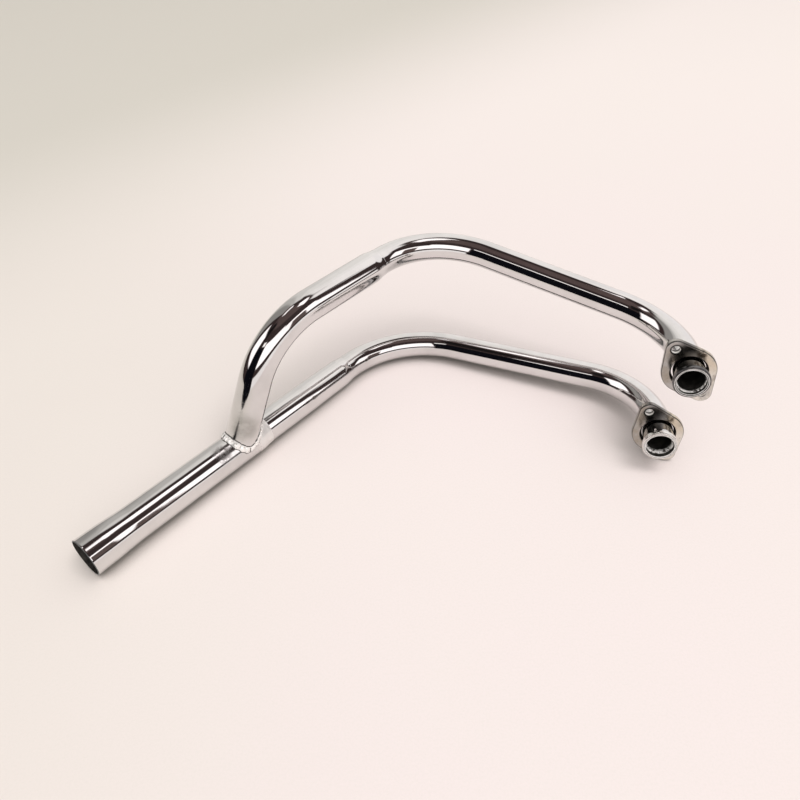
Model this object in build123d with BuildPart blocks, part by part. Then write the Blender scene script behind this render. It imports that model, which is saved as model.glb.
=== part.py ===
"""Two-into-one exhaust header for a parallel twin, lying on its side.

Millimetres, +Z up, the floor is z = 0.  Two head pipes leave the port
rings, bend down and back, and slip into two larger lower tubes.  The
straight lower tube runs into the collector; the crossover tube comes over
the top and is coped and welded onto the collector.  The two port flanges
are loose plates that hang on the necks behind the port rings; each has a
counterbore that closes over its ring.
"""
import os
from math import cos, radians, sin

from build123d import *

os.makedirs("parts", exist_ok=True)

# ---------------------------------------------------------------- sizes
WALL = 1.6                 # wall of every tube

HEAD_OD = 34.9             # head pipes
LOWER_OD = 40.0            # lower tubes
COLLECTOR_OD = 43.4        # collector
OUTLET_OD = 46.9           # expanded outlet of the collector
OUTLET_BORE = 43.7         # socket that a 43.4 mm stub slides into
OUTLET_SOCKET = 20.0       # straight depth of the socket
OUTLET_TAPER = 42.0        # length of the taper behind the socket

SLIP_DEPTH = 30.0          # head pipe inside its lower tube
SLIP_GAP = 0.1             # radial gap of the slip joints
MOUTH_WALL = 0.4           # wall left where a tube is swaged onto its pipe
SWAGE_MOUTH = 14.0         # swaged mouth of the lower tube
SWAGE_TAPER = 68.0         # taper from that mouth to the full tube
LIP = 17.0                 # swaged mouth of the crossover tube
COLLECTOR_SLIP = 18.0      # lower tube inside the collector

RING_OD = 40.0             # turned port rings
RING_BORE = 35.0
RING_LENGTH = 6.0
RING_EDGE = 1.0            # rounded outer edges
RING_RECESS = 0.2          # pipe end behind the ring face

FLANGE_THICK = 7.0         # loose port flanges
FLANGE_BODY_R = 29.5
FLANGE_EAR_R = 11.0
FLANGE_BOLT_PCD = 67.0
FLANGE_BOLT_D = 10.0
FLANGE_HOLE_D = 37.0       # clears the neck
FLANGE_SEAT_D = 41.8       # counterbore that closes over the port ring
FLANGE_SEAT_DEPTH = 4.0
FLANGE_EDGE = 1.5          # rounded outer edge
MAIN_FLANGE_BACK = 25.6    # front face of the flange behind the ring face
CROSS_FLANGE_BACK = 22.6
MAIN_FLANGE_TURN = 116.7   # direction of the upper ear, degrees from level
CROSS_FLANGE_TURN = 125.2

MERGE_BEAD = 3.6           # leg of the weld where the crossover lands
SEAM_BEAD = 3.0            # length of the weld at the collector mouth

# ---------------------------------------------------------------- routes
# corners of the pipe centrelines
PORT_AIM = Vector(-0.2060, -0.9719, 0.1141).normalized()   # out of both ports
PORT_RUN = 117.0           # from a ring face to the first corner

MAIN_PORT = Vector(306.46, -81.23, 45.26)
MAIN_CORNER_1 = MAIN_PORT - PORT_AIM * PORT_RUN
MAIN_CORNER_2 = Vector(1.06, 189.69, 17.45)
OUTLET = Vector(-341.25, -184.76, 25.90)

CROSS_PORT = Vector(323.46, -74.01, 137.63)
CROSS_CORNER_1 = CROSS_PORT - PORT_AIM * PORT_RUN
CROSS_CORNER_2 = Vector(53.53, 211.95, 168.98)
CROSS_CORNER_3 = Vector(-142.09, 16.35, 166.65)

MERGE_FROM_OUTLET = 215.2      # crossover axis meets the collector axis
COLLECTOR_LENGTH = 251.5       # outlet to the collector mouth
LOWER_MOUTH = 404.9            # outlet to the mouth of the main lower tube
CROSS_MOUTH = 95.3             # second corner to the crossover tube's mouth

MAIN_BENDS = [100.0, 130.0]    # centreline bend radii
CROSS_BENDS = [100.0, 115.0]
CROSS_TUBE_BEND = 105.0

MAIN_AIM = (OUTLET - MAIN_CORNER_2).normalized()        # toward the outlet
CROSS_AIM = (CROSS_CORNER_3 - CROSS_CORNER_2).normalized()
MERGE = OUTLET - MAIN_AIM * MERGE_FROM_OUTLET
DROP_AIM = (MERGE - CROSS_CORNER_3).normalized()        # crossover's last run


def across(aim):
    """A level direction square to aim."""
    side = Vector(0, 0, 1).cross(aim)
    return side.normalized()


def swaged(length, small, large):
    """Outline of a swaged mouth, from its large end to its small one."""
    rise = large - small
    return [(length * w, small + rise * w * w * (3 - 2 * w))
            for w in (1, 0.875, 0.75, 0.625, 0.5, 0.375, 0.25, 0.125, 0)]


# ---------------------------------------------------------------- head pipes
main_pipe_end = MAIN_PORT - PORT_AIM * RING_RECESS
main_slip_end = OUTLET - MAIN_AIM * (LOWER_MOUTH - SLIP_DEPTH)
with BuildPart() as main_head_pipe:
    with BuildLine() as main_head_route:
        FilletPolyline(main_pipe_end, MAIN_CORNER_1, MAIN_CORNER_2,
                       main_slip_end, radius=MAIN_BENDS)
    with BuildSketch(Plane(origin=main_pipe_end, x_dir=across(PORT_AIM),
                           z_dir=-PORT_AIM)):
        Circle(HEAD_OD / 2)
        Circle(HEAD_OD / 2 - WALL, mode=Mode.SUBTRACT)
    sweep(path=main_head_route.wires()[0])
main_head_pipe.part.label = "main_head_pipe"

cross_pipe_end = CROSS_PORT - PORT_AIM * RING_RECESS
cross_slip_end = CROSS_CORNER_2 + CROSS_AIM * (CROSS_MOUTH + SLIP_DEPTH)
with BuildPart() as crossover_head_pipe:
    with BuildLine() as cross_head_route:
        FilletPolyline(cross_pipe_end, CROSS_CORNER_1, CROSS_CORNER_2,
                       cross_slip_end, radius=CROSS_BENDS)
    with BuildSketch(Plane(origin=cross_pipe_end, x_dir=across(PORT_AIM),
                           z_dir=-PORT_AIM)):
        Circle(HEAD_OD / 2)
        Circle(HEAD_OD / 2 - WALL, mode=Mode.SUBTRACT)
    sweep(path=cross_head_route.wires()[0])
crossover_head_pipe.part.label = "crossover_head_pipe"

# ---------------------------------------------------------------- lower tubes
# the crossover's bore, run down to the collector axis
drop_plane = Plane(origin=MERGE, x_dir=across(DROP_AIM), z_dir=-DROP_AIM)

# straight lower tube, swaged down to the head pipe at its mouth
lower_mouth = OUTLET - MAIN_AIM * LOWER_MOUTH
lower_length = LOWER_MOUTH - COLLECTOR_LENGTH + COLLECTOR_SLIP
mouth_in = HEAD_OD / 2 + SLIP_GAP
mouth_out = mouth_in + WALL
lower_out = LOWER_OD / 2
lower_in = lower_out - WALL
main_side = Plane(origin=lower_mouth, x_dir=MAIN_AIM,
                  z_dir=-across(MAIN_AIM))
with BuildPart() as main_lower_tube:
    with BuildSketch(main_side):
        with BuildLine():
            Polyline((0, mouth_in), (SLIP_DEPTH + 2, mouth_in),
                     (SWAGE_MOUTH + SWAGE_TAPER, lower_in),
                     (lower_length, lower_in), (lower_length, lower_out),
                     (SWAGE_MOUTH + SWAGE_TAPER, lower_out),
                     *swaged(SWAGE_MOUTH, mouth_in + MOUTH_WALL,
                             mouth_out + 0.2), close=True)
        make_face()
    revolve(axis=Axis(lower_mouth, MAIN_AIM))
    with BuildSketch(drop_plane):
        Circle(LOWER_OD / 2 - WALL)
    extrude(amount=60, mode=Mode.SUBTRACT)
main_lower_tube.part.label = "main_lower_tube"

# crossover tube, with a swaged mouth and a coped lower end
cross_mouth = CROSS_CORNER_2 + CROSS_AIM * CROSS_MOUTH
cross_body = cross_mouth + CROSS_AIM * LIP
collector_back = OUTLET - MAIN_AIM * COLLECTOR_LENGTH
cross_side = Plane(origin=cross_mouth, x_dir=CROSS_AIM,
                   z_dir=-across(CROSS_AIM))
with BuildPart() as crossover_tube:
    with BuildLine() as cross_tube_route:
        FilletPolyline(cross_body, CROSS_CORNER_3, MERGE,
                       radius=CROSS_TUBE_BEND)
    with BuildSketch(Plane(origin=cross_body, x_dir=across(CROSS_AIM),
                           z_dir=CROSS_AIM)):
        Circle(LOWER_OD / 2)
        Circle(LOWER_OD / 2 - WALL, mode=Mode.SUBTRACT)
    sweep(path=cross_tube_route.wires()[0])
    with BuildSketch(cross_side):
        with BuildLine():
            Polyline((0, mouth_in), (LIP / 2, mouth_in), (LIP, lower_in),
                     *swaged(LIP, mouth_in + MOUTH_WALL, lower_out),
                     close=True)
        make_face()
    revolve(axis=Axis(cross_mouth, CROSS_AIM))
    with BuildSketch(Plane(origin=OUTLET, x_dir=across(MAIN_AIM),
                           z_dir=-MAIN_AIM)):
        Circle(COLLECTOR_OD / 2 + 0.01)
    extrude(amount=COLLECTOR_LENGTH + 40, mode=Mode.SUBTRACT)
crossover_tube.part.label = "crossover_tube"

# ---------------------------------------------------------------- collector
coll_out = COLLECTOR_OD / 2
coll_in = coll_out - WALL
collector_side = Plane(origin=OUTLET, x_dir=-MAIN_AIM,
                       z_dir=across(MAIN_AIM))
taper_end = OUTLET_SOCKET + OUTLET_TAPER
with BuildPart() as collector_tube:
    with BuildSketch(collector_side):
        with BuildLine():
            Polyline((0, OUTLET_BORE / 2), (OUTLET_SOCKET, OUTLET_BORE / 2),
                     (taper_end, coll_in), (COLLECTOR_LENGTH, coll_in),
                     (COLLECTOR_LENGTH, coll_out), (taper_end, coll_out),
                     (OUTLET_SOCKET, OUTLET_OD / 2 - 0.25),
                     (0.6, OUTLET_OD / 2), (0, OUTLET_OD / 2 - 0.4),
                     close=True)
        make_face()
    revolve(axis=Axis(OUTLET, -MAIN_AIM))
    with BuildSketch(drop_plane):
        Circle(LOWER_OD / 2 - WALL)
    extrude(amount=60, mode=Mode.SUBTRACT)
collector_tube.part.label = "collector_tube"

# ---------------------------------------------------------------- welds
# fillet weld round the foot of the crossover tube
with BuildPart() as merge_weld_bead:
    with BuildSketch(drop_plane):
        Circle(LOWER_OD / 2 + MERGE_BEAD)
    extrude(amount=60)
    with BuildSketch(Plane(origin=OUTLET, x_dir=across(MAIN_AIM),
                           z_dir=-MAIN_AIM)):
        Circle(coll_out + MERGE_BEAD)
    extrude(amount=COLLECTOR_LENGTH + 40, mode=Mode.INTERSECT)
    with BuildSketch(drop_plane):
        Circle(LOWER_OD / 2 + 0.01)
    extrude(amount=60, mode=Mode.SUBTRACT)
    with BuildSketch(Plane(origin=OUTLET, x_dir=across(MAIN_AIM),
                           z_dir=-MAIN_AIM)):
        Circle(coll_out + 0.01)
    extrude(amount=COLLECTOR_LENGTH + 40, mode=Mode.SUBTRACT)
merge_weld_bead.part.label = "merge_weld_bead"

# seam weld where the lower tube enters the collector
with BuildPart() as collector_weld_bead:
    with BuildSketch(collector_side):
        with BuildLine():
            Polyline((COLLECTOR_LENGTH + 0.01, lower_out + 0.01),
                     (COLLECTOR_LENGTH + SEAM_BEAD, lower_out + 0.01),
                     (COLLECTOR_LENGTH + SEAM_BEAD * 0.55, lower_out + 1.0),
                     (COLLECTOR_LENGTH + 0.01, coll_out - 0.1), close=True)
        make_face()
    revolve(axis=Axis(OUTLET, -MAIN_AIM))
collector_weld_bead.part.label = "collector_weld_bead"


# ---------------------------------------------------------------- ports
with BuildPart() as main_port_ring:
    with BuildSketch(Plane(origin=MAIN_PORT, x_dir=across(PORT_AIM),
                           z_dir=-PORT_AIM)):
        Circle(RING_OD / 2)
        Circle(RING_BORE / 2, mode=Mode.SUBTRACT)
    extrude(amount=RING_LENGTH)
    fillet(main_port_ring.edges().filter_by(GeomType.CIRCLE)
           .group_by(SortBy.RADIUS)[-1], RING_EDGE)
main_port_ring.part.label = "main_port_ring"

with BuildPart() as crossover_port_ring:
    with BuildSketch(Plane(origin=CROSS_PORT, x_dir=across(PORT_AIM),
                           z_dir=-PORT_AIM)):
        Circle(RING_OD / 2)
        Circle(RING_BORE / 2, mode=Mode.SUBTRACT)
    extrude(amount=RING_LENGTH)
    fillet(crossover_port_ring.edges().filter_by(GeomType.CIRCLE)
           .group_by(SortBy.RADIUS)[-1], RING_EDGE)
crossover_port_ring.part.label = "crossover_port_ring"

# loose flanges: each hangs with the top of its hole on the neck
level = across(PORT_AIM)
if level.X < 0:
    level = -level
upright = PORT_AIM.cross(level)
if upright.Z < 0:
    upright = -upright
HANG = FLANGE_HOLE_D / 2 - HEAD_OD / 2 - 0.02


def flange_plane(port, back, turn):
    """Front face of a hanging flange; local X points at the upper ear."""
    centre = port - PORT_AIM * back - upright * HANG
    ear = level * cos(radians(turn)) + upright * sin(radians(turn))
    return Plane(origin=centre, x_dir=ear, z_dir=-PORT_AIM)


with BuildPart() as main_port_flange:
    with BuildSketch(flange_plane(MAIN_PORT, MAIN_FLANGE_BACK,
                                  MAIN_FLANGE_TURN)):
        Circle(FLANGE_BODY_R)
        with Locations((FLANGE_BOLT_PCD / 2, 0), (-FLANGE_BOLT_PCD / 2, 0)):
            Circle(FLANGE_EAR_R)
        make_hull()
    extrude(amount=FLANGE_THICK)
    fillet(main_port_flange.edges().filter_by(
        lambda e: abs(e.tangent_at(0.5).dot(PORT_AIM)) < 0.5), FLANGE_EDGE)
    with BuildSketch(flange_plane(MAIN_PORT, MAIN_FLANGE_BACK,
                                  MAIN_FLANGE_TURN)):
        Circle(FLANGE_HOLE_D / 2)
        with Locations((FLANGE_BOLT_PCD / 2, 0), (-FLANGE_BOLT_PCD / 2, 0)):
            Circle(FLANGE_BOLT_D / 2)
    extrude(amount=FLANGE_THICK, mode=Mode.SUBTRACT)
    with BuildSketch(flange_plane(MAIN_PORT, MAIN_FLANGE_BACK,
                                  MAIN_FLANGE_TURN)):
        Circle(FLANGE_SEAT_D / 2)
    extrude(amount=FLANGE_SEAT_DEPTH, mode=Mode.SUBTRACT)
main_port_flange.part.label = "main_port_flange"

with BuildPart() as crossover_port_flange:
    with BuildSketch(flange_plane(CROSS_PORT, CROSS_FLANGE_BACK,
                                  CROSS_FLANGE_TURN)):
        Circle(FLANGE_BODY_R)
        with Locations((FLANGE_BOLT_PCD / 2, 0), (-FLANGE_BOLT_PCD / 2, 0)):
            Circle(FLANGE_EAR_R)
        make_hull()
    extrude(amount=FLANGE_THICK)
    fillet(crossover_port_flange.edges().filter_by(
        lambda e: abs(e.tangent_at(0.5).dot(PORT_AIM)) < 0.5), FLANGE_EDGE)
    with BuildSketch(flange_plane(CROSS_PORT, CROSS_FLANGE_BACK,
                                  CROSS_FLANGE_TURN)):
        Circle(FLANGE_HOLE_D / 2)
        with Locations((FLANGE_BOLT_PCD / 2, 0), (-FLANGE_BOLT_PCD / 2, 0)):
            Circle(FLANGE_BOLT_D / 2)
    extrude(amount=FLANGE_THICK, mode=Mode.SUBTRACT)
    with BuildSketch(flange_plane(CROSS_PORT, CROSS_FLANGE_BACK,
                                  CROSS_FLANGE_TURN)):
        Circle(FLANGE_SEAT_D / 2)
    extrude(amount=FLANGE_SEAT_DEPTH, mode=Mode.SUBTRACT)
crossover_port_flange.part.label = "crossover_port_flange"

# ---------------------------------------------------------------- files
export_step(main_head_pipe.part, "parts/main_head_pipe.step")
export_step(crossover_head_pipe.part, "parts/crossover_head_pipe.step")
export_step(main_lower_tube.part, "parts/main_lower_tube.step")
export_step(crossover_tube.part, "parts/crossover_tube.step")
export_step(collector_tube.part, "parts/collector_tube.step")
export_step(merge_weld_bead.part, "parts/merge_weld_bead.step")
export_step(collector_weld_bead.part, "parts/collector_weld_bead.step")
export_step(main_port_ring.part, "parts/main_port_ring.step")
export_step(crossover_port_ring.part, "parts/crossover_port_ring.step")
export_step(main_port_flange.part, "parts/main_port_flange.step")
export_step(crossover_port_flange.part, "parts/crossover_port_flange.step")
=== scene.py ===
import math

import bmesh
import bpy
from mathutils import Matrix, Vector, noise


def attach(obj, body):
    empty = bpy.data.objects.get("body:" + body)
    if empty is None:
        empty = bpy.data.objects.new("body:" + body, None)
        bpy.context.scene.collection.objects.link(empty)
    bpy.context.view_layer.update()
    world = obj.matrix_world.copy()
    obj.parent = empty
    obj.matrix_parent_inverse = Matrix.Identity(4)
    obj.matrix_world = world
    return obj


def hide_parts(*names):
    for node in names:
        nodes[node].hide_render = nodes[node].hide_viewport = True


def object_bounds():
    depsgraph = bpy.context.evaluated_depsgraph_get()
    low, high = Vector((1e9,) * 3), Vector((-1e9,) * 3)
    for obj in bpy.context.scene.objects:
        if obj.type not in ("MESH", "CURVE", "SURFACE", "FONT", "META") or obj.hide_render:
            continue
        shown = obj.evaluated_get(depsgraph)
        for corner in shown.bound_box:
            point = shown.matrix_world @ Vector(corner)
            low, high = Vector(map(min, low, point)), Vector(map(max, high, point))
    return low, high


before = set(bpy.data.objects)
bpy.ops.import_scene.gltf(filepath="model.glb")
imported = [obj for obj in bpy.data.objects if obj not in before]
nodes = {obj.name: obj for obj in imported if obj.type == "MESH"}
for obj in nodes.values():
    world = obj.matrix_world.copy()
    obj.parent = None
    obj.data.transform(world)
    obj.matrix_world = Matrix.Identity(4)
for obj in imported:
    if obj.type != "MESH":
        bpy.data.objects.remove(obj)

cad_box = [list(v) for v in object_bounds()]
scene = bpy.context.scene
scene.view_settings.view_transform = "Standard"
scene.view_settings.look = "None"
scene.view_settings.exposure = 0.0

MM = 0.001

# ------------------------------------------------------------------ camera
ELEVATION, ROLL, LENS = 43.5309, 2.7560, 32.3344
eye = Vector((6.30, -640.84, 671.88)) * MM
e, r = math.radians(ELEVATION), math.radians(ROLL)
forward = Vector((0, math.cos(e), -math.sin(e)))
right0 = Vector((1, 0, 0))
down0 = Vector((0, -math.sin(e), -math.cos(e)))
right = right0 * math.cos(r) + down0 * math.sin(r)
down = down0 * math.cos(r) - right0 * math.sin(r)
cam = bpy.data.cameras.new("camera")
cam.sensor_fit = "HORIZONTAL"
cam.sensor_width = 36.0
cam.lens = LENS
cam.clip_start = 0.01
cam_obj = bpy.data.objects.new("camera", cam)
scene.collection.objects.link(cam_obj)
turn = Matrix((right, -down, -forward)).transposed()
cam_obj.matrix_world = Matrix.Translation(eye) @ turn.to_4x4()
scene.camera = cam_obj


# ------------------------------------------------------------------ node help
class Net:
    """Small helper that chains shader nodes."""

    def __init__(self, tree):
        self.tree = tree

    def new(self, kind, **values):
        node = self.tree.nodes.new(kind)
        for key, value in values.items():
            setattr(node, key, value)
        return node

    def link(self, a, b):
        self.tree.links.new(a, b)

    def put(self, socket, value):
        if isinstance(value, bpy.types.NodeSocket):
            self.link(value, socket)
        else:
            socket.default_value = value

    def math(self, operation, a, b=None, c=None):
        node = self.new("ShaderNodeMath", operation=operation)
        for i, value in enumerate((a, b, c)):
            if value is not None:
                self.put(node.inputs[i], value)
        return node.outputs[0]

    def step(self, value, low, high, out_low=0.0, out_high=1.0):
        node = self.new("ShaderNodeMapRange", interpolation_type="SMOOTHSTEP")
        self.put(node.inputs["Value"], value)
        if low > high:
            low, high, out_low, out_high = high, low, out_high, out_low
        node.inputs["From Min"].default_value = low
        node.inputs["From Max"].default_value = high
        node.inputs["To Min"].default_value = out_low
        node.inputs["To Max"].default_value = out_high
        return node.outputs["Result"]

    def mix(self, factor, a, b):
        node = self.new("ShaderNodeMix", data_type="RGBA")
        self.put(node.inputs["Factor"], factor)
        self.put(node.inputs[6], a)
        self.put(node.inputs[7], b)
        return node.outputs[2]

    def noise(self, vector, scale, detail=2.0, rough=0.5, distortion=0.0):
        node = self.new("ShaderNodeTexNoise")
        self.link(vector, node.inputs["Vector"])
        node.inputs["Scale"].default_value = scale
        node.inputs["Detail"].default_value = detail
        node.inputs["Roughness"].default_value = rough
        node.inputs["Distortion"].default_value = distortion
        return node.outputs["Fac"]

    def stretch(self, vector, x, y, z):
        node = self.new("ShaderNodeMapping")
        self.link(vector, node.inputs["Vector"])
        node.inputs["Scale"].default_value = (x, y, z)
        return node.outputs["Vector"]

    def along(self, vector, start, aim):
        """Distance in mm from a point, measured along a direction."""
        node = self.new("ShaderNodeVectorMath", operation="SUBTRACT")
        self.link(vector, node.inputs[0])
        node.inputs[1].default_value = start * MM
        dot = self.new("ShaderNodeVectorMath", operation="DOT_PRODUCT")
        self.link(node.outputs[0], dot.inputs[0])
        dot.inputs[1].default_value = aim
        return self.math("MULTIPLY", dot.outputs["Value"], 1000.0)

    def away(self, vector, centre):
        """Distance in mm from a point."""
        node = self.new("ShaderNodeVectorMath", operation="DISTANCE")
        self.link(vector, node.inputs[0])
        node.inputs[1].default_value = centre * MM
        return self.math("MULTIPLY", node.outputs["Value"], 1000.0)

    def bump(self, height, strength, distance, shader):
        node = self.new("ShaderNodeBump")
        self.link(height, node.inputs["Height"])
        node.inputs["Strength"].default_value = strength
        node.inputs["Distance"].default_value = distance
        self.link(node.outputs["Normal"], shader.inputs["Normal"])


def material(name):
    mat = bpy.data.materials.new(name)
    mat.use_nodes = True
    net = Net(mat.node_tree)
    shader = mat.node_tree.nodes["Principled BSDF"]
    place = net.new("ShaderNodeTexCoord").outputs["Object"]
    return mat, net, shader, place


# ------------------------------------------------------------------ surroundings
world = bpy.data.worlds.new("studio")
scene.world = world
world.use_nodes = True
net = Net(world.node_tree)
background = world.node_tree.nodes["Background"]
way = net.new("ShaderNodeTexCoord").outputs["Generated"]
split = net.new("ShaderNodeSeparateXYZ")
net.link(way, split.inputs[0])
azimuth = net.math("MULTIPLY", net.math("ARCTAN2", split.outputs[1], split.outputs[0]), 57.29578)
height = net.math("MULTIPLY", net.math("ARCSINE", split.outputs[2]), 57.29578)


def panel(under, west, east, low, high, colour, soft=2.0):
    """Lays a soft-edged panel of light or dark over the dome."""
    centre, half = (west + east) / 2, (east - west) / 2
    off = net.math("WRAP", net.math("SUBTRACT", azimuth, centre), 180.0, -180.0)
    wide = net.step(net.math("ABSOLUTE", off), half + soft, half - soft)
    tall = net.math("MULTIPLY", net.step(height, low - soft, low + soft),
                    net.step(height, high + soft, high - soft))
    return net.mix(net.math("MULTIPLY", wide, tall), under, (*colour, 1.0))


DARK = (0.040, 0.027, 0.026)
BROWN = (0.098, 0.068, 0.064)
WHITE = (1.40, 1.31, 1.30)

sky = (*DARK, 1.0)
sky = panel(sky, -180, 180, 64, 95, BROWN, 4)                 # ceiling
sky = panel(sky, 50, 126, 58, 82, DARK, 2.5)
sky = panel(sky, 90, 150, -30, 64, (0.30, 0.285, 0.27), 3)    # far pale wall
sky = panel(sky, 90, 124, -30, 65, (0.52, 0.50, 0.475), 4)
sky = panel(sky, 90, 113, -30, 65, (0.74, 0.71, 0.68), 4)
sky = panel(sky, 50, 101, -30, 60, (0.86, 0.825, 0.79), 2.5)
sky = panel(sky, 50, 84, -30, 60, (0.94, 0.90, 0.87), 5)
sky = panel(sky, 9, 64, 45, 61, (1.00, 0.95, 0.925), 2)
sky = panel(sky, 4, 64, 39.5, 47, (1.00, 0.95, 0.93), 2)
sky = panel(sky, 16, 64, -30, 42, (0.94, 0.90, 0.885), 2)
sky = panel(sky, -8, 47, 66, 79, WHITE, 1.5)                  # high window
sky = panel(sky, 112, 172, 72.5, 78.5, WHITE, 2)              # narrow roof light
sky = panel(sky, -112, -9, -30, 4, (0.94, 0.89, 0.87), 1.2)   # bench before the window
sky = panel(sky, -112, -9, 14.5, 39.5, WHITE, 1.2)            # wide front window
sky = panel(sky, -112, -58, 14.5, 43.5, WHITE, 1.5)
sky = panel(sky, -44, -26.2, 11, 33, (0.11, 0.08, 0.074), 1.3)
sky = panel(sky, -172, -140, 48, 69, (0.010, 0.008, 0.008), 2.5)
sky = panel(sky, -165, -114, -30, 40, (0.004, 0.004, 0.006), 2)   # dark end of the room
sky = panel(sky, -133.4, -117, 42, 47, (1.15, 1.09, 1.06), 0.7)
sky = panel(sky, 164, 200, 14, 50, WHITE, 2.5)                # side window
pale = (1.04, 0.995, 0.97, 1.0)
trace = net.new("ShaderNodeLightPath")
glossy = net.math("MULTIPLY", trace.outputs["Is Glossy Ray"],
                  net.math("LESS_THAN", trace.outputs["Diffuse Depth"], 0.5))
# the room light on the floor comes mostly from the front window and from overhead
rise = net.math("MAXIMUM", split.outputs[2], 0.0)
scaled = net.new("ShaderNodeVectorMath", operation="MULTIPLY_ADD")
net.link(net.math("MULTIPLY", rise, rise), scaled.inputs[0])
scaled.inputs[1].default_value = (0.52, 0.50, 0.49)
scaled.inputs[2].default_value = (0.07, 0.10, 0.075)
front = net.new("ShaderNodeVectorMath", operation="DOT_PRODUCT")
net.link(way, front.inputs[0])
front.inputs[1].default_value = (0.287, -0.497, 0.819)
face_on = net.math("MAXIMUM", front.outputs["Value"], 0.0)
dome = net.new("ShaderNodeVectorMath", operation="MULTIPLY_ADD")
net.link(net.math("MULTIPLY", face_on, face_on), dome.inputs[0])
dome.inputs[1].default_value = (1.30, 1.22, 1.21)
net.link(scaled.outputs[0], dome.inputs[2])
room = net.mix(trace.outputs["Is Camera Ray"], dome.outputs[0], pale)
# what is seen in a reflection of a reflection lies in the shade between the tubes
deep = net.math("GREATER_THAN", trace.outputs["Glossy Depth"], 1.5)
shown = net.new("ShaderNodeVectorMath", operation="SCALE")
net.link(sky, shown.inputs[0])
net.link(net.step(deep, 0.0, 1.0, 1.15, 0.45), shown.inputs["Scale"])
net.link(net.mix(glossy, room, shown.outputs[0]), background.inputs["Color"])
background.inputs["Strength"].default_value = 1.0


def softbox(name, place, aim, size, power, colour):
    light = bpy.data.lights.new(name, "AREA")
    light.shape = "RECTANGLE"
    light.size, light.size_y = size
    light.energy = power
    light.color = colour
    obj = bpy.data.objects.new(name, light)
    scene.collection.objects.link(obj)
    obj.location = place
    obj.rotation_euler = (Vector(aim) - Vector(place)).to_track_quat("-Z", "Y").to_euler()
    obj.visible_glossy = False
    return obj


softbox("key", (2.08, -1.20, 5.93), (0.0, 0, 0), (2.6, 2.6), 122, (1.0, 0.96, 0.94))

# ------------------------------------------------------------------ floor
mesh = bpy.data.meshes.new("floor")
bm = bmesh.new()
bmesh.ops.create_grid(bm, x_segments=4, y_segments=4, size=3.0)
for vert in bm.verts:
    vert.co.y = max(vert.co.y, -0.85)
bmesh.ops.remove_doubles(bm, verts=bm.verts, dist=0.001)
bm.to_mesh(mesh)
bm.free()
floor = bpy.data.objects.new("floor", mesh)
scene.collection.objects.link(floor)
mat, net, shader, place = material("floor_sheet")
tone = net.step(net.noise(place, 3.0, 3.0), 0.3, 0.7)
fleck = net.step(net.noise(place, 420.0, 2.0, 0.6), 0.35, 0.75)
side = net.new("ShaderNodeSeparateXYZ")
net.link(place, side.inputs[0])
warm = net.mix(net.step(side.outputs[0], -0.55, 0.10), (0.795, 0.735, 0.70, 1), (0.850, 0.765, 0.765, 1))
warm = net.mix(net.math("MULTIPLY", tone, 0.16), warm, (0.82, 0.79, 0.74, 1))
warm = net.mix(net.math("MULTIPLY", net.step(side.outputs[1], 0.1, 1.3), 0.8), warm, (0.89, 0.82, 0.80, 1))
# painted shade: the sheet's colour darkens toward its back-left corner
corner = net.step(net.math("SUBTRACT", side.outputs[1], side.outputs[0]), 0.7, 1.9)
warm = net.mix(net.math("MULTIPLY", corner, 0.9), warm, (0.64, 0.61, 0.555, 1))
warm = net.mix(net.math("MULTIPLY", fleck, 0.16), warm, (0.70, 0.67, 0.62, 1))
# painted contact shadow: the sheet's colour is darkened where something rests close to it
contact_shadow = net.new("ShaderNodeAmbientOcclusion", samples=8)
contact_shadow.inputs["Distance"].default_value = 0.026
net.link(net.mix(net.step(contact_shadow.outputs["AO"], 0.75, 0.20, 0.0, 0.55), warm, (0.13, 0.13, 0.11, 1)), shader.inputs["Base Color"])
shader.inputs["Roughness"].default_value = 0.75
shader.inputs["Specular IOR Level"].default_value = 0.15
floor.data.materials.append(mat)

# ------------------------------------------------------------------ sizes, as the CAD has them
AIM = Vector((-0.2060, -0.9719, 0.1141)).normalized()
MAIN_PORT = Vector((306.46, -81.23, 45.26))
MAIN_1 = MAIN_PORT - AIM * 117.0
MAIN_2 = Vector((1.06, 189.69, 17.45))
OUTLET = Vector((-341.25, -184.76, 25.90))
CROSS_PORT = Vector((323.46, -74.01, 137.63))
CROSS_1 = CROSS_PORT - AIM * 117.0
CROSS_2 = Vector((53.53, 211.95, 168.98))
CROSS_3 = Vector((-142.09, 16.35, 166.65))
MAIN_AIM = (OUTLET - MAIN_2).normalized()
CROSS_AIM = (CROSS_3 - CROSS_2).normalized()
MERGE = OUTLET - MAIN_AIM * 215.2
DROP_AIM = (MERGE - CROSS_3).normalized()
LOWER_MOUTH = OUTLET - MAIN_AIM * 404.9
CROSS_MOUTH = CROSS_2 + CROSS_AIM * 95.3
HEAD_R, BORE_R, LOWER_R, COLL_R = 17.45, 15.85, 20.0, 21.7


# ------------------------------------------------------------------ materials
chrome, net, shader, place = material("polished_chrome")
haze = net.step(net.noise(place, 22.0, 4.0, 0.6), 0.38, 0.72)
tint = net.mix(haze, (0.73, 0.722, 0.718, 1), (0.66, 0.652, 0.648, 1))
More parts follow.
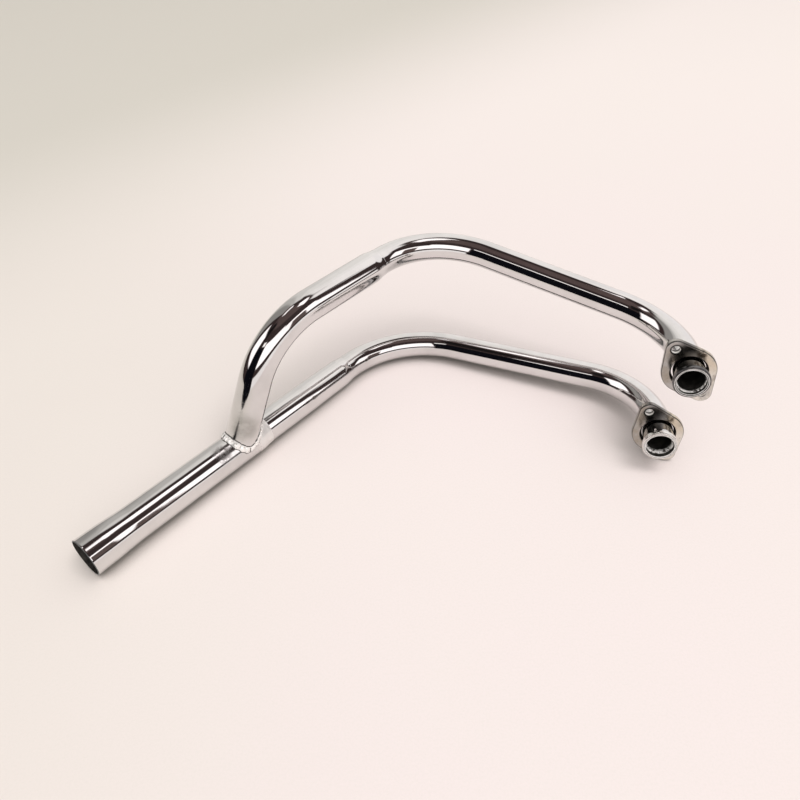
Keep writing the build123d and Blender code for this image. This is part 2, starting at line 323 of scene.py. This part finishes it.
# dulled metal beside the crossover weld
spot = Vector((-209.0, -56.0, 42.0))
burn = net.math("MULTIPLY", net.step(net.away(place, spot), 15.0, 5.0),
                net.step(net.noise(place, 170.0, 3.0, 0.6), 0.44, 0.58))
dull = net.step(net.away(place, MERGE), 50.0, 37.0)
tint = net.mix(net.math("MULTIPLY", burn, 0.75), tint, (0.20, 0.185, 0.18, 1))
grey = net.math("MULTIPLY", net.step(net.away(place, Vector((-179.0, -34.5, 61.0))), 27.0, 6.0),
                net.step(net.noise(place, 55.0, 3.0, 0.6), 0.25, 0.6, 0.55, 1.0))
tint = net.mix(net.math("MULTIPLY", grey, 0.9), tint, (0.42, 0.415, 0.395, 1))
wipe = net.step(net.noise(net.stretch(place, 1.0, 1.0, 6.0), 60.0, 3.0, 0.6), 0.3, 0.8, 0.03, 0.075)
fog = net.math("ADD", net.math("MULTIPLY", burn, 0.16), net.math("MULTIPLY", dull, 0.10))
fog = net.math("ADD", fog, net.math("MULTIPLY", grey, 0.10))
# matt skin at the collector's mouth
rim_point = OUTLET - MAIN_AIM * 251.5
matt = net.math("MULTIPLY", net.step(net.away(place, rim_point), 34.0, 25.0),
                net.step(net.along(place, rim_point, MAIN_AIM), -3.5, -2.9))
net.link(net.mix(matt, tint, (0.79, 0.768, 0.755, 1)), shader.inputs["Base Color"])
fog = net.math("ADD", fog, net.math("MULTIPLY", matt, 0.20))
net.link(net.math("ADD", wipe, fog), shader.inputs["Roughness"])
net.link(net.step(matt, 0.0, 1.0, 1.0, 0.55), shader.inputs["Metallic"])
net.bump(net.noise(place, 900.0, 2.0, 0.6), 0.02, 0.0003, shader)

weld, net, shader, place = material("chromed_weld")
pits = net.step(net.noise(place, 380.0, 3.0, 0.6), 0.52, 0.70)
net.link(net.mix(pits, (0.97, 0.955, 0.94, 1), (0.50, 0.48, 0.45, 1)), shader.inputs["Base Color"])
net.link(net.step(net.noise(place, 300.0, 3.0), 0.3, 0.75, 0.16, 0.34), shader.inputs["Roughness"])
shader.inputs["Metallic"].default_value = 0.45

# painted shade: a dark material for the weld's toes and the grooves between its lumps
weld_crease_shade, net, shader, place = material("weld_toe_shade")
net.link(net.mix(net.step(net.noise(place, 420.0, 3.0), 0.35, 0.7), (0.05, 0.045, 0.04, 1), (0.16, 0.15, 0.14, 1)), shader.inputs["Base Color"])
net.link(net.step(net.noise(place, 300.0, 3.0), 0.3, 0.75, 0.40, 0.65), shader.inputs["Roughness"])
shader.inputs["Metallic"].default_value = 0.7

bore, net, shader, place = material("sooty_bore")
soot = net.step(net.noise(place, 160.0, 5.0, 0.6), 0.35, 0.7)
net.link(net.mix(soot, (0.035, 0.032, 0.030, 1), (0.10, 0.092, 0.085, 1)), shader.inputs["Base Color"])
net.link(net.step(soot, 0.0, 1.0, 0.45, 0.75), shader.inputs["Roughness"])
shader.inputs["Metallic"].default_value = 0.6

root_mat, net, shader, place = material("bore_weld")
spots = net.step(net.noise(place, 300.0, 3.0, 0.6), 0.50, 0.58)
net.link(net.mix(spots, (0.93, 0.92, 0.91, 1), (0.08, 0.072, 0.07, 1)), shader.inputs["Base Color"])
net.link(net.step(spots, 0.0, 1.0, 0.30, 0.60), shader.inputs["Roughness"])
shader.inputs["Metallic"].default_value = 0.35

rim, net, shader, place = material("cut_rim")
rub = net.step(net.noise(place, 260.0, 4.0, 0.6), 0.35, 0.7)
net.link(net.mix(rub, (0.10, 0.115, 0.12, 1), (0.22, 0.235, 0.24, 1)), shader.inputs["Base Color"])
net.link(net.step(rub, 0.0, 1.0, 0.35, 0.6), shader.inputs["Roughness"])
shader.inputs["Metallic"].default_value = 0.9

LEVEL = Vector((0, 0, 1)).cross(AIM).normalized()
LEVEL = LEVEL if LEVEL.x > 0 else -LEVEL
UPRIGHT = AIM.cross(LEVEL)
UPRIGHT = UPRIGHT if UPRIGHT.z > 0 else -UPRIGHT


def plate(name, port, back, turn):
    """Satin plate, with painted shade in its counterbore, round its bolt hole and on its rounded edges, and painted
    light and shade in the bolt hole.
    """
    mat, net, shader, place = material(name)
    centre = port - AIM * back - UPRIGHT * 1.03
    ear = LEVEL * math.cos(math.radians(turn)) + UPRIGHT * math.sin(math.radians(turn))

    def off_axis(start):
        along = net.along(place, start, AIM)
        away = net.away(place, start)
        square = net.math("SUBTRACT", net.math("MULTIPLY", away, away), net.math("MULTIPLY", along, along))
        return net.math("SQRT", net.math("MAXIMUM", square, 0.0))

    depth = net.math("MULTIPLY", net.along(place, centre, AIM), -1.0)
    # painted shade: the counterbore round the neck is coloured near black and made rougher
    counterbore_shade = net.step(off_axis(centre), 20.98, 20.75)
    bolt = off_axis(centre + ear * 33.5)
    wall = net.step(bolt, 5.3, 5.05)
    # painted shade: a dark ring on the face round the bolt hole
    bolt_ring_shade = net.math("MULTIPLY", net.step(bolt, 7.2, 5.9), net.step(depth, 1.6, 1.0))
    # painted shade: the rounded edges at the front and back of the plate are darkened
    rounded_edge_shade = net.math("MAXIMUM",
                        net.math("MULTIPLY", net.step(depth, 0.05, 0.30), net.step(depth, 1.7, 1.1)),
                        net.math("MULTIPLY", net.step(depth, 5.4, 6.0), net.step(depth, 7.1, 6.8)))
    # tones: worn patches at random, painted shade under the top edge, and painted light as a straw-coloured lit zone
    # toward the right, palest low down
    patch = net.step(net.noise(place, 34.0, 4.0, 0.6), 0.40, 0.64)
    skin_tone = net.mix(patch, (0.52, 0.51, 0.495, 1), (0.40, 0.365, 0.31, 1))
    across = net.along(place, centre, LEVEL)
    lit_right = net.math("MULTIPLY", net.step(across, 0.0, 12.0), net.step(net.noise(place, 60.0, 3.0), 0.30, 0.55))
    lit_right_tone = net.mix(net.step(net.along(place, centre, UPRIGHT), -4.0, 14.0), (0.90, 0.87, 0.80, 1), (0.78, 0.70, 0.56, 1))
    skin_tone = net.mix(net.math("MULTIPLY", lit_right, 0.85), skin_tone, lit_right_tone)
    shade = net.step(net.away(place, centre + LEVEL * -7 + UPRIGHT * 32), 17.0, 3.0)
    skin_tone = net.mix(net.math("MULTIPLY", shade, 0.85), skin_tone, (0.07, 0.066, 0.064, 1))
    blot = net.math("MULTIPLY", net.step(net.away(place, centre + LEVEL * 8.5 + UPRIGHT * 24.5), 8.0, 3.5),
                    net.step(net.noise(place, 150.0, 2.0), 0.42, 0.56))
    skin_tone = net.mix(net.math("MULTIPLY", blot, 0.85), skin_tone, (0.10, 0.075, 0.055, 1))
    speck = net.step(net.noise(place, 310.0, 3.0, 0.6), 0.55, 0.72)
    skin_tone = net.mix(net.math("MULTIPLY", speck, 0.5), skin_tone, (0.26, 0.23, 0.20, 1))
    skin_tone = net.mix(net.math("MULTIPLY", rounded_edge_shade, 0.80), skin_tone, (0.045, 0.042, 0.040, 1))
    skin_tone = net.mix(bolt_ring_shade, skin_tone, (0.035, 0.033, 0.032, 1))
    # painted light and shade in the bolt hole: its wall is pale near the face and near black deeper in
    lit = net.mix(net.step(depth, 3.6, 4.6), (0.95, 0.93, 0.90, 1), (0.10, 0.095, 0.09, 1))
    skin_tone = net.mix(net.math("MULTIPLY", wall, net.step(depth, 0.8, 1.6)), skin_tone, lit)
    skin_tone = net.mix(net.math("MULTIPLY", net.math("SUBTRACT", 1.0, wall), 0.13), skin_tone, (0, 0, 0, 1))
    net.link(net.mix(counterbore_shade, skin_tone, (0.022, 0.020, 0.019, 1)), shader.inputs["Base Color"])
    gloss = net.step(net.noise(place, 90.0, 3.0), 0.3, 0.75, 0.15, 0.27)
    net.link(net.math("ADD", gloss, net.math("MULTIPLY", counterbore_shade, 0.4)), shader.inputs["Roughness"])
    net.link(net.step(wall, 0.0, 1.0, 1.0, 0.15), shader.inputs["Metallic"])
    net.bump(net.noise(place, 260.0, 3.0, 0.6), 0.05, 0.0004, shader)
    return mat


ring_mat, net, shader, place = material("turned_ring")
net.link(net.mix(net.step(net.noise(place, 90.0, 4.0), 0.35, 0.7), (0.77, 0.76, 0.74, 1), (0.63, 0.61, 0.58, 1)), shader.inputs["Base Color"])
net.link(net.step(net.noise(place, 160.0, 3.0), 0.3, 0.75, 0.08, 0.18), shader.inputs["Roughness"])
shader.inputs["Metallic"].default_value = 1.0

edge_mat, net, shader, place = material("grey_edge")
net.link(net.mix(net.step(net.noise(place, 120.0, 4.0), 0.35, 0.7), (0.087, 0.086, 0.089, 1), (0.174, 0.170, 0.168, 1)), shader.inputs["Base Color"])
net.link(net.step(net.noise(place, 160.0, 3.0), 0.3, 0.75, 0.16, 0.30), shader.inputs["Roughness"])
shader.inputs["Metallic"].default_value = 1.0

lip_mat, net, shader, place = material("rubbed_lip")
net.link(net.mix(net.step(net.noise(place, 140.0, 4.0), 0.40, 0.7), (0.96, 0.95, 0.94, 1), (0.78, 0.76, 0.74, 1)), shader.inputs["Base Color"])
net.link(net.step(net.noise(place, 160.0, 3.0), 0.3, 0.75, 0.20, 0.32), shader.inputs["Roughness"])
shader.inputs["Metallic"].default_value = 0.4

paint = {"main_port_flange": plate("satin_plate_main", MAIN_PORT, 25.6, 116.7),
         "crossover_port_flange": plate("satin_plate_crossover", CROSS_PORT, 22.6, 125.2)}
for name, obj in nodes.items():
    obj.data.materials.clear()
    obj.data.materials.append(paint.get(name, ring_mat if "ring" in name else chrome))


# ------------------------------------------------------------------ tube shapes
def route(points, radii, step):
    """Places and directions along straight runs joined by bends."""
    out = []

    def run(a, b, aim):
        count = max(2, int((b - a).length / step))
        for k in range(count):
            out.append((a.lerp(b, k / count), aim.copy()))

    start = points[0]
    for i, radius in enumerate(radii):
        corner = points[i + 1]
        back = (points[i] - corner).normalized()
        ahead = (points[i + 2] - corner).normalized()
        half = back.angle(ahead) / 2
        reach = radius / math.tan(half)
        centre = corner + (back + ahead).normalized() * (radius / math.sin(half))
        enter, leave = corner + back * reach, corner + ahead * reach
        run(start, enter, -back)
        sweep = math.pi - 2 * half
        axis = back.cross(ahead).normalized()
        count = max(8, int(sweep * radius / step))
        arm = enter - centre
        for k in range(count):
            spin = Matrix.Rotation(-sweep * k / count, 3, axis)
            out.append((centre + spin @ arm, spin @ -back))
        start = leave
    aim = (points[-1] - points[-2]).normalized()
    run(start, points[-1], aim)
    out.append((points[-1].copy(), aim))
    return out


def framed(path, first=None):
    """Adds two cross directions that don't twist along the path."""
    u = first or Vector((0, 0, 1)).cross(path[0][1]).normalized()
    out, length, last = [], 0.0, None
    for place, aim in path:
        u = (u - aim * u.dot(aim)).normalized()
        if last is not None:
            length += (place - last).length
        last = place
        out.append((place, aim, u.copy(), aim.cross(u), length))
    return out


def skin(bm, rings, index, flip=False):
    """Closed strips of quads between rings of points in mm."""
    rows = [[bm.verts.new(p * MM) for p in ring] for ring in rings]
    stitch(bm, rows, index, flip)
    return rows


def stitch(bm, rows, index, flip=False):
    for a, b in zip(rows, rows[1:]):
        for k in range(len(a)):
            n = (k + 1) % len(a)
            quad = (a[k], a[n], b[n], b[k])
            face = bm.faces.new(quad[::-1] if flip else quad)
            face.material_index = index
            face.smooth = True


def piece(name, bm, materials, node):
    # a skin is finer than the CAD mesh, so its ends are drawn in to the CAD model's box
    for k in range(3):
        low, high = min(v.co[k] for v in bm.verts), max(v.co[k] for v in bm.verts)
        first, last = max(low, cad_box[0][k]), min(high, cad_box[1][k])
        if (first, last) != (low, high):
            for v in bm.verts:
                v.co[k] = first + (v.co[k] - low) * (last - first) / (high - low)
    bmesh.ops.recalc_face_normals(bm, faces=bm.faces)
    mesh = bpy.data.meshes.new(name)
    bm.to_mesh(mesh)
    bm.free()
    for mat in materials:
        mesh.materials.append(mat)
    mesh.set_sharp_from_angle(angle=math.radians(40))
    obj = bpy.data.objects.new(name, mesh)
    scene.collection.objects.link(obj)
    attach(obj, "root")
    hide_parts(node)
    return obj


SIDES = 112


def wave(point, size, seed):
    return noise.noise(point / size + Vector((seed, seed * 1.7, -seed)))


def ring_at(place, u, v, radius, shape=None):
    out = []
    for k in range(SIDES):
        a = 2 * math.pi * k / SIDES
        side = u * math.cos(a) + v * math.sin(a)
        add = shape(place, side, radius) if shape else 0.0
        out.append(place + side * (radius + add))
    return out


def worn(place, side, radius):
    """Faint waviness that bending and polishing leave in a tube."""
    p = place + side * radius
    return min(0.0, 0.055 * wave(p, 34.0, 3.1) + 0.020 * wave(p, 13.0, 8.4) - 0.035)


# head pipes: port end, run, and the end hidden in the lower tube
def head_pipe(name, points, radii, end, seed, groove, root, spread_root):
    path = framed(route(points, radii, 2.4))
    total = path[-1][4]
    bm = bmesh.new()
    outer = []
    for place, aim, u, v, s in path:
        outer.append(ring_at(place, u, v, HEAD_R - (0.25 if s == 0 else 0.0), worn if 14 < s < total - 34 else None))
    rows = skin(bm, outer, 0)
    place, aim, u, v, s = path[0]

    def inner(depth, base, rough, wander=0.0):
        spot = place + aim * depth

        def shape(centre, side, radius):
            p = centre + side * radius
            return -rough * (0.55 + 0.9 * wave(p, 3.2, seed) + 0.5 * wave(p, 1.5, seed + 4))
        points = ring_at(spot, u, v, base, shape if rough else None)
        if wander:
            points = [q + aim * wander * (1.1 * wave(place + (q - spot), 6.0, seed + 2) + 0.6 * wave(place + (q - spot), 2.6, seed + 9))
                      for q in points]
        return [bm.verts.new(q * MM) for q in points]

    # lip of the pipe end, with a groove against the ring if there is one
    lip_rows = [rows[0]] + [inner(d, q, 0.0) for d, q in groove]
    stitch(bm, lip_rows[:3], 2, True)
    stitch(bm, lip_rows[2:], 4, True)
    dark = [lip_rows[-1]] + [inner(d, BORE_R, 0.0) for d in (1.2, root * 0.7, root)]
    stitch(bm, dark, 1, True)
    # rough root of the weld inside the neck
    bead = [dark[-1]]
    for d, drop, rough in ((0.3, 0.30, 0.20), (0.8, 0.62, 0.30), (1.4, 0.92, 0.36), (2.1, 1.15, 0.38), (2.9, 1.28, 0.38),
                           (3.8, 1.30, 0.36), (4.7, 1.22, 0.34), (5.6, 1.0, 0.30), (6.4, 0.7, 0.22), (7.2, 0.3, 0.1)):
        bead.append(inner(root + d * spread_root * 1.0, BORE_R - drop * spread_root * 1.35, rough * 1.3, 1.0 * spread_root))
    stitch(bm, bead, 3, True)
    lumps = [bead[-1], inner(root + 9.2, BORE_R, 0.0)]
    stitch(bm, lumps, 1, True)
    back = [lumps[-1]]
    for place_b, aim_b, u_b, v_b, s_b in path[8:]:
        back.append([bm.verts.new(q * MM) for q in ring_at(place_b, u_b, v_b, BORE_R)])
    stitch(bm, back, 1, True)
    stitch(bm, [rows[-1], back[-1]], 1)
    return piece(name, bm, (chrome, bore, rim, root_mat, lip_mat), end)


head_pipe("main_head_pipe_skin", [MAIN_PORT - AIM * 0.2, MAIN_1, MAIN_2, LOWER_MOUTH + MAIN_AIM * 30.0],
          [100.0, 130.0], "main_head_pipe", 2.3,
          ((0.0, 17.15), (-0.15, 17.0), (-0.2, 16.6), (-0.1, 16.1), (0.3, BORE_R)), 5.6, 1.0)
head_pipe("crossover_head_pipe_skin", [CROSS_PORT - AIM * 0.2, CROSS_1, CROSS_2, CROSS_MOUTH + CROSS_AIM * 30.0],
          [100.0, 115.0], "crossover_head_pipe", 6.1,
          ((1.6, 17.2), (1.6, 16.75), (0.2, 16.6), (0.0, 16.2), (0.5, BORE_R)), 4.0, 0.55)


# turned shapes round a straight axis: list of (along, radius, material)
def turned(name, start, aim, profile, mats, node, shape=None):
    u = Vector((0, 0, 1)).cross(aim).normalized()
    v = aim.cross(u)
    bm = bmesh.new()
    rows = []
    for along, radius, index in profile:
        spot = start + aim * along
        rows.append(([bm.verts.new(q * MM) for q in ring_at(spot, u, v, radius, shape)], index))
    for (a, index), (b, _) in zip(rows, rows[1:]):
        stitch(bm, [a, b], index)
    stitch(bm, [rows[-1][0], rows[0][0]], rows[-1][1])
    return piece(name, bm, mats, node)


def spread(a, b, step, index):
    """Profile points from a up to b, not b itself."""
    count = max(1, int(math.hypot(b[0] - a[0], b[1] - a[1]) / step))
    return [(a[0] + (b[0] - a[0]) * k / count, a[1] + (b[1] - a[1]) * k / count, index) for k in range(count)]


def arc_points(along, radius, size, start, stop, count, index):
    """Profile points round an edge of that size, angles in degrees."""
    out = []
    for k in range(count + 1):
        a = math.radians(start + (stop - start) * k / count)
        out.append((along - size * math.cos(a), radius + size * math.sin(a), index))
    return out


def port_ring(name, port, node, edge, index):
    line = [(0.0, 17.5, 3), (0.0, 18.15, 1), (0.0, 18.42, index)]
    line += arc_points(edge, 20.0 - edge, edge, 0, 90, 8, index)
    line += [(3.0, 20.0, index)]
    line += [(6.0 - a, q, index) for a, q, _ in reversed(arc_points(1.0, 19.0, 1.0, 0, 90, 6, index))]
    line += [(6.0, 17.5, 1), (3.0, 17.5, 1)]
    turned(name, port, -AIM, line, (ring_mat, bore, edge_mat, lip_mat), node)


port_ring("main_ring_turned", MAIN_PORT, "main_port_ring", 0.9, 0)
port_ring("crossover_ring_turned", CROSS_PORT, "crossover_port_ring", 1.5, 2)


def lower_out(t):
    """Outside of the swaged lower tube."""
    if t < 14.0:
        w = t / 14.0
        return 17.95 + 1.4 * w * w * (3 - 2 * w)
    w = min(1.0, (t - 14.0) / 68.0)
    return 19.35 + 0.65 * w * w * (3 - 2 * w)


LOWER_END = 404.9 - 251.5 + 18.0
line = [(0.0, 17.56, 2), (0.0, 17.75, 0), (0.3, 17.93, 0), (0.8, 17.97, 0)]
line += [(t, lower_out(t), 0) for t in [1.4 + 1.0 * k for k in range(22)]]
line += [(t, lower_out(t), 0) for t in [24.0 + 2.4 * k for k in range(int((LOWER_END - 24.0) / 2.4))]]
line += [(LOWER_END, 19.99, 1), (LOWER_END, 18.4, 1)]
line += spread((LOWER_END - 0.1, 18.4), (82.0, 18.4), 12.0, 1) + spread((82.0, 18.4), (32.0, 17.56), 12.0, 1)
line += [(32.0, 17.56, 1)]
turned("main_lower_tube_skin", LOWER_MOUTH, MAIN_AIM, line, (chrome, bore, rim), "main_lower_tube", worn)


def coll_out(t):
    """Outside of the collector, by distance from the outlet."""
    if t < 20.0:
        return 23.45 - 0.25 * t / 20.0
    w = min(1.0, (t - 20.0) / 42.0)
    q = min(1.0, max(0.0, (t - 239.0) / 12.4))
    return 23.2 - 1.5 * w * w * (3 - 2 * w) - 1.32 * q * q * (3 - 2 * q)


line = [(0.0, 21.9, 1), (0.0, 22.05, 2), (0.0, 22.9, 2), (0.15, 23.25, 2), (0.6, 23.44, 0)]
line += [(t, coll_out(t), 0) for t in [2.0 + 2.4 * k for k in range(98)]]
line += [(t, coll_out(t), 0) for t in [236.5 + 0.8 * k for k in range(19)]]
line += [(251.4, 20.36, 0), (251.4, 20.12, 1)]
line += spread((251.3, 20.12), (62.0, 20.12), 12.0, 1) + spread((62.0, 20.12), (20.0, 21.86), 4.0, 1)
line += spread((20.0, 21.86), (0.5, 21.86), 4.0, 1)
turned("collector_skin", OUTLET, -MAIN_AIM, line, (chrome, bore, rim), "collector_tube", worn)


# crossover tube: rolled-in mouth, bend, coped foot on the collector
def foot(base, radius, ring_u, ring_v):
    """Where lines down the last run land on the collector."""
    out = []
    for k in range(SIDES):
        a = 2 * math.pi * k / SIDES
        p = base + (ring_u * math.cos(a) + ring_v * math.sin(a)) * radius
        rel = p - OUTLET
        q = rel - MAIN_AIM * rel.dot(MAIN_AIM)
        d = DROP_AIM - MAIN_AIM * DROP_AIM.dot(MAIN_AIM)
        aa, bb, cc = d.dot(d), 2 * q.dot(d), q.dot(q) - (COLL_R + 0.03) ** 2
        t = (-bb - math.sqrt(max(bb * bb - 4 * aa * cc, 0.0))) / (2 * aa)
        out.append(p + DROP_AIM * t)
    return out


path = framed(route([CROSS_MOUTH, CROSS_3, MERGE], [105.0], 2.4))
back3 = (CROSS_MOUTH - CROSS_3).normalized()
ahead3 = (MERGE - CROSS_3).normalized()
reach3 = 105.0 / math.tan(back3.angle(ahead3) / 2)
bend_end = CROSS_3 + ahead3 * reach3
upper = [f for f in path if (f[0] - CROSS_3).dot(ahead3) < reach3 - 0.1 or (f[0] - CROSS_3).dot(back3) > 0]
last = upper[-1]
ring_u = (last[2] - DROP_AIM * last[2].dot(DROP_AIM)).normalized()
ring_v = DROP_AIM.cross(ring_u)


def lip(s):
    """Outside of the crossover tube, swaged in at its mouth."""
    w = min(1.0, s / 17.0)
    return 17.95 + 2.05 * w * w * (3 - 2 * w)


def tube_rings(inside):
    rings = []
    for place, aim, u, v, s in upper:
        if s < 17.0:
            continue
        rings.append(ring_at(place, u, v, 18.4 if inside else LOWER_R, None if inside else worn))
    top = ring_at(bend_end, ring_u, ring_v, 18.4 if inside else LOWER_R)
    land = foot(bend_end, 18.4 if inside else LOWER_R, ring_u, ring_v)
    for k in range(25):
        f = k / 24
        ring = [a.lerp(b, f) for a, b in zip(top, land)]
        if not inside:
            fade = min(1.0, 4 * (1 - f))
            ring = [p + (p - (bend_end + DROP_AIM * (p - bend_end).dot(DROP_AIM))).normalized()
                    * worn(p, Vector(), 0.0) * fade for p in ring]
        rings.append(ring)
    return rings


bm = bmesh.new()
mouth, aim, u, v, s = path[0]
edge = [ring_at(mouth + CROSS_AIM * t, u, v, lip(t) - (0.2 if t == 0 else 0.0), worn if t > 3 else None)
        for t in [0.0, 0.25] + [0.8 + 0.9 * k for k in range(18)]]
outer = skin(bm, edge + tube_rings(False), 0)
throat = skin(bm, [ring_at(mouth + CROSS_AIM * t, u, v, 17.56) for t in (0.0, 9.0)] + tube_rings(True)[1:], 1, True)
stitch(bm, [outer[0], throat[0]], 2, True)
stitch(bm, [outer[-1], throat[-1]], 1)
piece("crossover_tube_skin", bm, (chrome, bore, rim), "crossover_tube")


# ------------------------------------------------------------------ welds
# lumpy fillet round the foot of the crossover tube
def drop_point(angle, radius, lift):
    """A point on a cylinder round the last run that stands off the collector axis by lift."""
    side = ring_u * math.cos(angle) + ring_v * math.sin(angle)
    p = bend_end + side * radius
    rel = p - OUTLET
    q = rel - MAIN_AIM * rel.dot(MAIN_AIM)
    d = DROP_AIM - MAIN_AIM * DROP_AIM.dot(MAIN_AIM)
    aa, bb, cc = d.dot(d), 2 * q.dot(d), q.dot(q) - lift ** 2
    gap = bb * bb - 4 * aa * cc
    t = (-bb - math.sqrt(max(gap, 0.0))) / (2 * aa)
    return p + DROP_AIM * t


STEPS, ACROSS = 420, 18
bm = bmesh.new()
rows, groove = [], []
arc, last_p = 0.0, None
arcs = []
for k in range(STEPS):
    p = drop_point(2 * math.pi * k / STEPS, LOWER_R, COLL_R)
    if last_p is not None:
        arc += (p - last_p).length
    last_p = p
    arcs.append(arc)
whole = arc + (drop_point(0.0, LOWER_R, COLL_R) - last_p).length
beats = round(whole / 7.6)
for k in range(STEPS):
    angle = 2 * math.pi * k / STEPS
    crease = drop_point(angle, LOWER_R, COLL_R)
    axis_c = OUTLET + MAIN_AIM * (crease - OUTLET).dot(MAIN_AIM)
    n_coll = (crease - axis_c).normalized()
    n_drop = ring_u * math.cos(angle) + ring_v * math.sin(angle)
    # toes of the weld on the two tubes
    up_run = -DROP_AIM
    out_run = (n_drop - n_coll * n_drop.dot(n_coll)).normalized()
    phase = beats * arcs[k] / whole + 0.55 * wave(crease, 11.0, 1.3)
    hump = abs(math.sin(math.pi * phase)) ** 0.7
    # heavy on the near outlet side, lighter toward the lower tube
    heavy = 0.5 + 0.5 * out_run.dot(MAIN_AIM)
    size = 3.3 + 1.5 * heavy + 0.7 * hump + 0.6 * wave(crease, 7.0, 5.5)
    toe_a = crease + up_run * (size * 0.95 + 0.6 * wave(crease, 4.0, 9.0)) + n_drop * 0.02
    toe_b = crease + out_run * (size * 1.0 + 0.6 * wave(crease, 4.0, 2.0))
    rel = toe_b - OUTLET
    foot_axis = OUTLET + MAIN_AIM * rel.dot(MAIN_AIM)
    toe_b = foot_axis + (toe_b - foot_axis).normalized() * (COLL_R + 0.02)
    bulge = ((n_drop + n_coll) / 2).normalized()
    ring = []
    for j in range(ACROSS + 1):
        f = j / ACROSS
        p = toe_a.lerp(toe_b, f)
        arch = math.sin(math.pi * f) ** 0.75
        tall = (0.10 + 1.85 * hump) * (0.5 + 0.5 * heavy)
        p = p + bulge * arch * (tall + 0.12 * wave(p, 3.0, 7.7))
        ring.append(p)
    ring.append(toe_b - n_coll * 0.6)
    ring.append(crease - bulge * 0.5)
    ring.append(toe_a - n_drop * 0.6)
    rows.append(ring)
    groove.append(hump < 0.30 + 0.9 * wave(crease, 5.0, 6.6) and heavy > 0.35)
rows.append(rows[0])
verts = [[bm.verts.new(p * MM) for p in ring] for ring in rows[:-1]]
verts.append(verts[0])
stitch(bm, verts, 0)
bm.verts.index_update()
wide = ACROSS + 4
# faces at both toes and in the grooves between lumps get the dark material, painted shade in the creases
for face in bm.faces:
    place_in = sorted(v.index % wide for v in face.verts)
    if place_in[-1] <= 2 or (place_in[0] >= ACROSS - 2 and place_in[-1] <= ACROSS):
        face.material_index = 1
    if place_in[0] >= 5 and any(groove[v.index // wide] for v in face.verts):
        face.material_index = 1
piece("merge_weld", bm, (weld, weld_crease_shade), "merge_weld_bead")

# low seam at the collector's mouth
bm = bmesh.new()
seam_u = Vector((0, 0, 1)).cross(MAIN_AIM).normalized()
seam_v = MAIN_AIM.cross(seam_u)
seam = OUTLET - MAIN_AIM * 251.5
verts = []
COUNT = 300
for k in range(COUNT):
    a = 2 * math.pi * k / COUNT
    side = seam_u * math.cos(a) + seam_v * math.sin(a)
    ring = []
    beat = abs(math.sin(9 * a + 0.9 * wave(side * 20, 8.0, 4.0)))
    for j in range(13):
        f = j / 12
        along = 1.2 - f * 4.1
        low = coll_out(251.5 - along) + 0.02 if along > 0.2 else 20.02 + 0.36 * max(0.0, 1 + along / 2.9)
        lump = math.sin(math.pi * f) ** 0.7 * (0.06 + 0.05 * beat + 0.04 * wave(side * 21 + MAIN_AIM * along, 3.0, 3.0))
        ring.append(seam + MAIN_AIM * along + side * (low + max(lump, 0.0)))
    ring.append(seam - MAIN_AIM * 2.9 + side * 20.02)
    ring.append(seam - MAIN_AIM * 0.02 + side * 20.02)
    ring.append(seam + MAIN_AIM * 1.2 + side * 20.2)
    verts.append([bm.verts.new(p * MM) for p in ring])
verts.append(verts[0])
stitch(bm, verts, 0)
piece("collector_seam", bm, (chrome,), "collector_weld_bead")
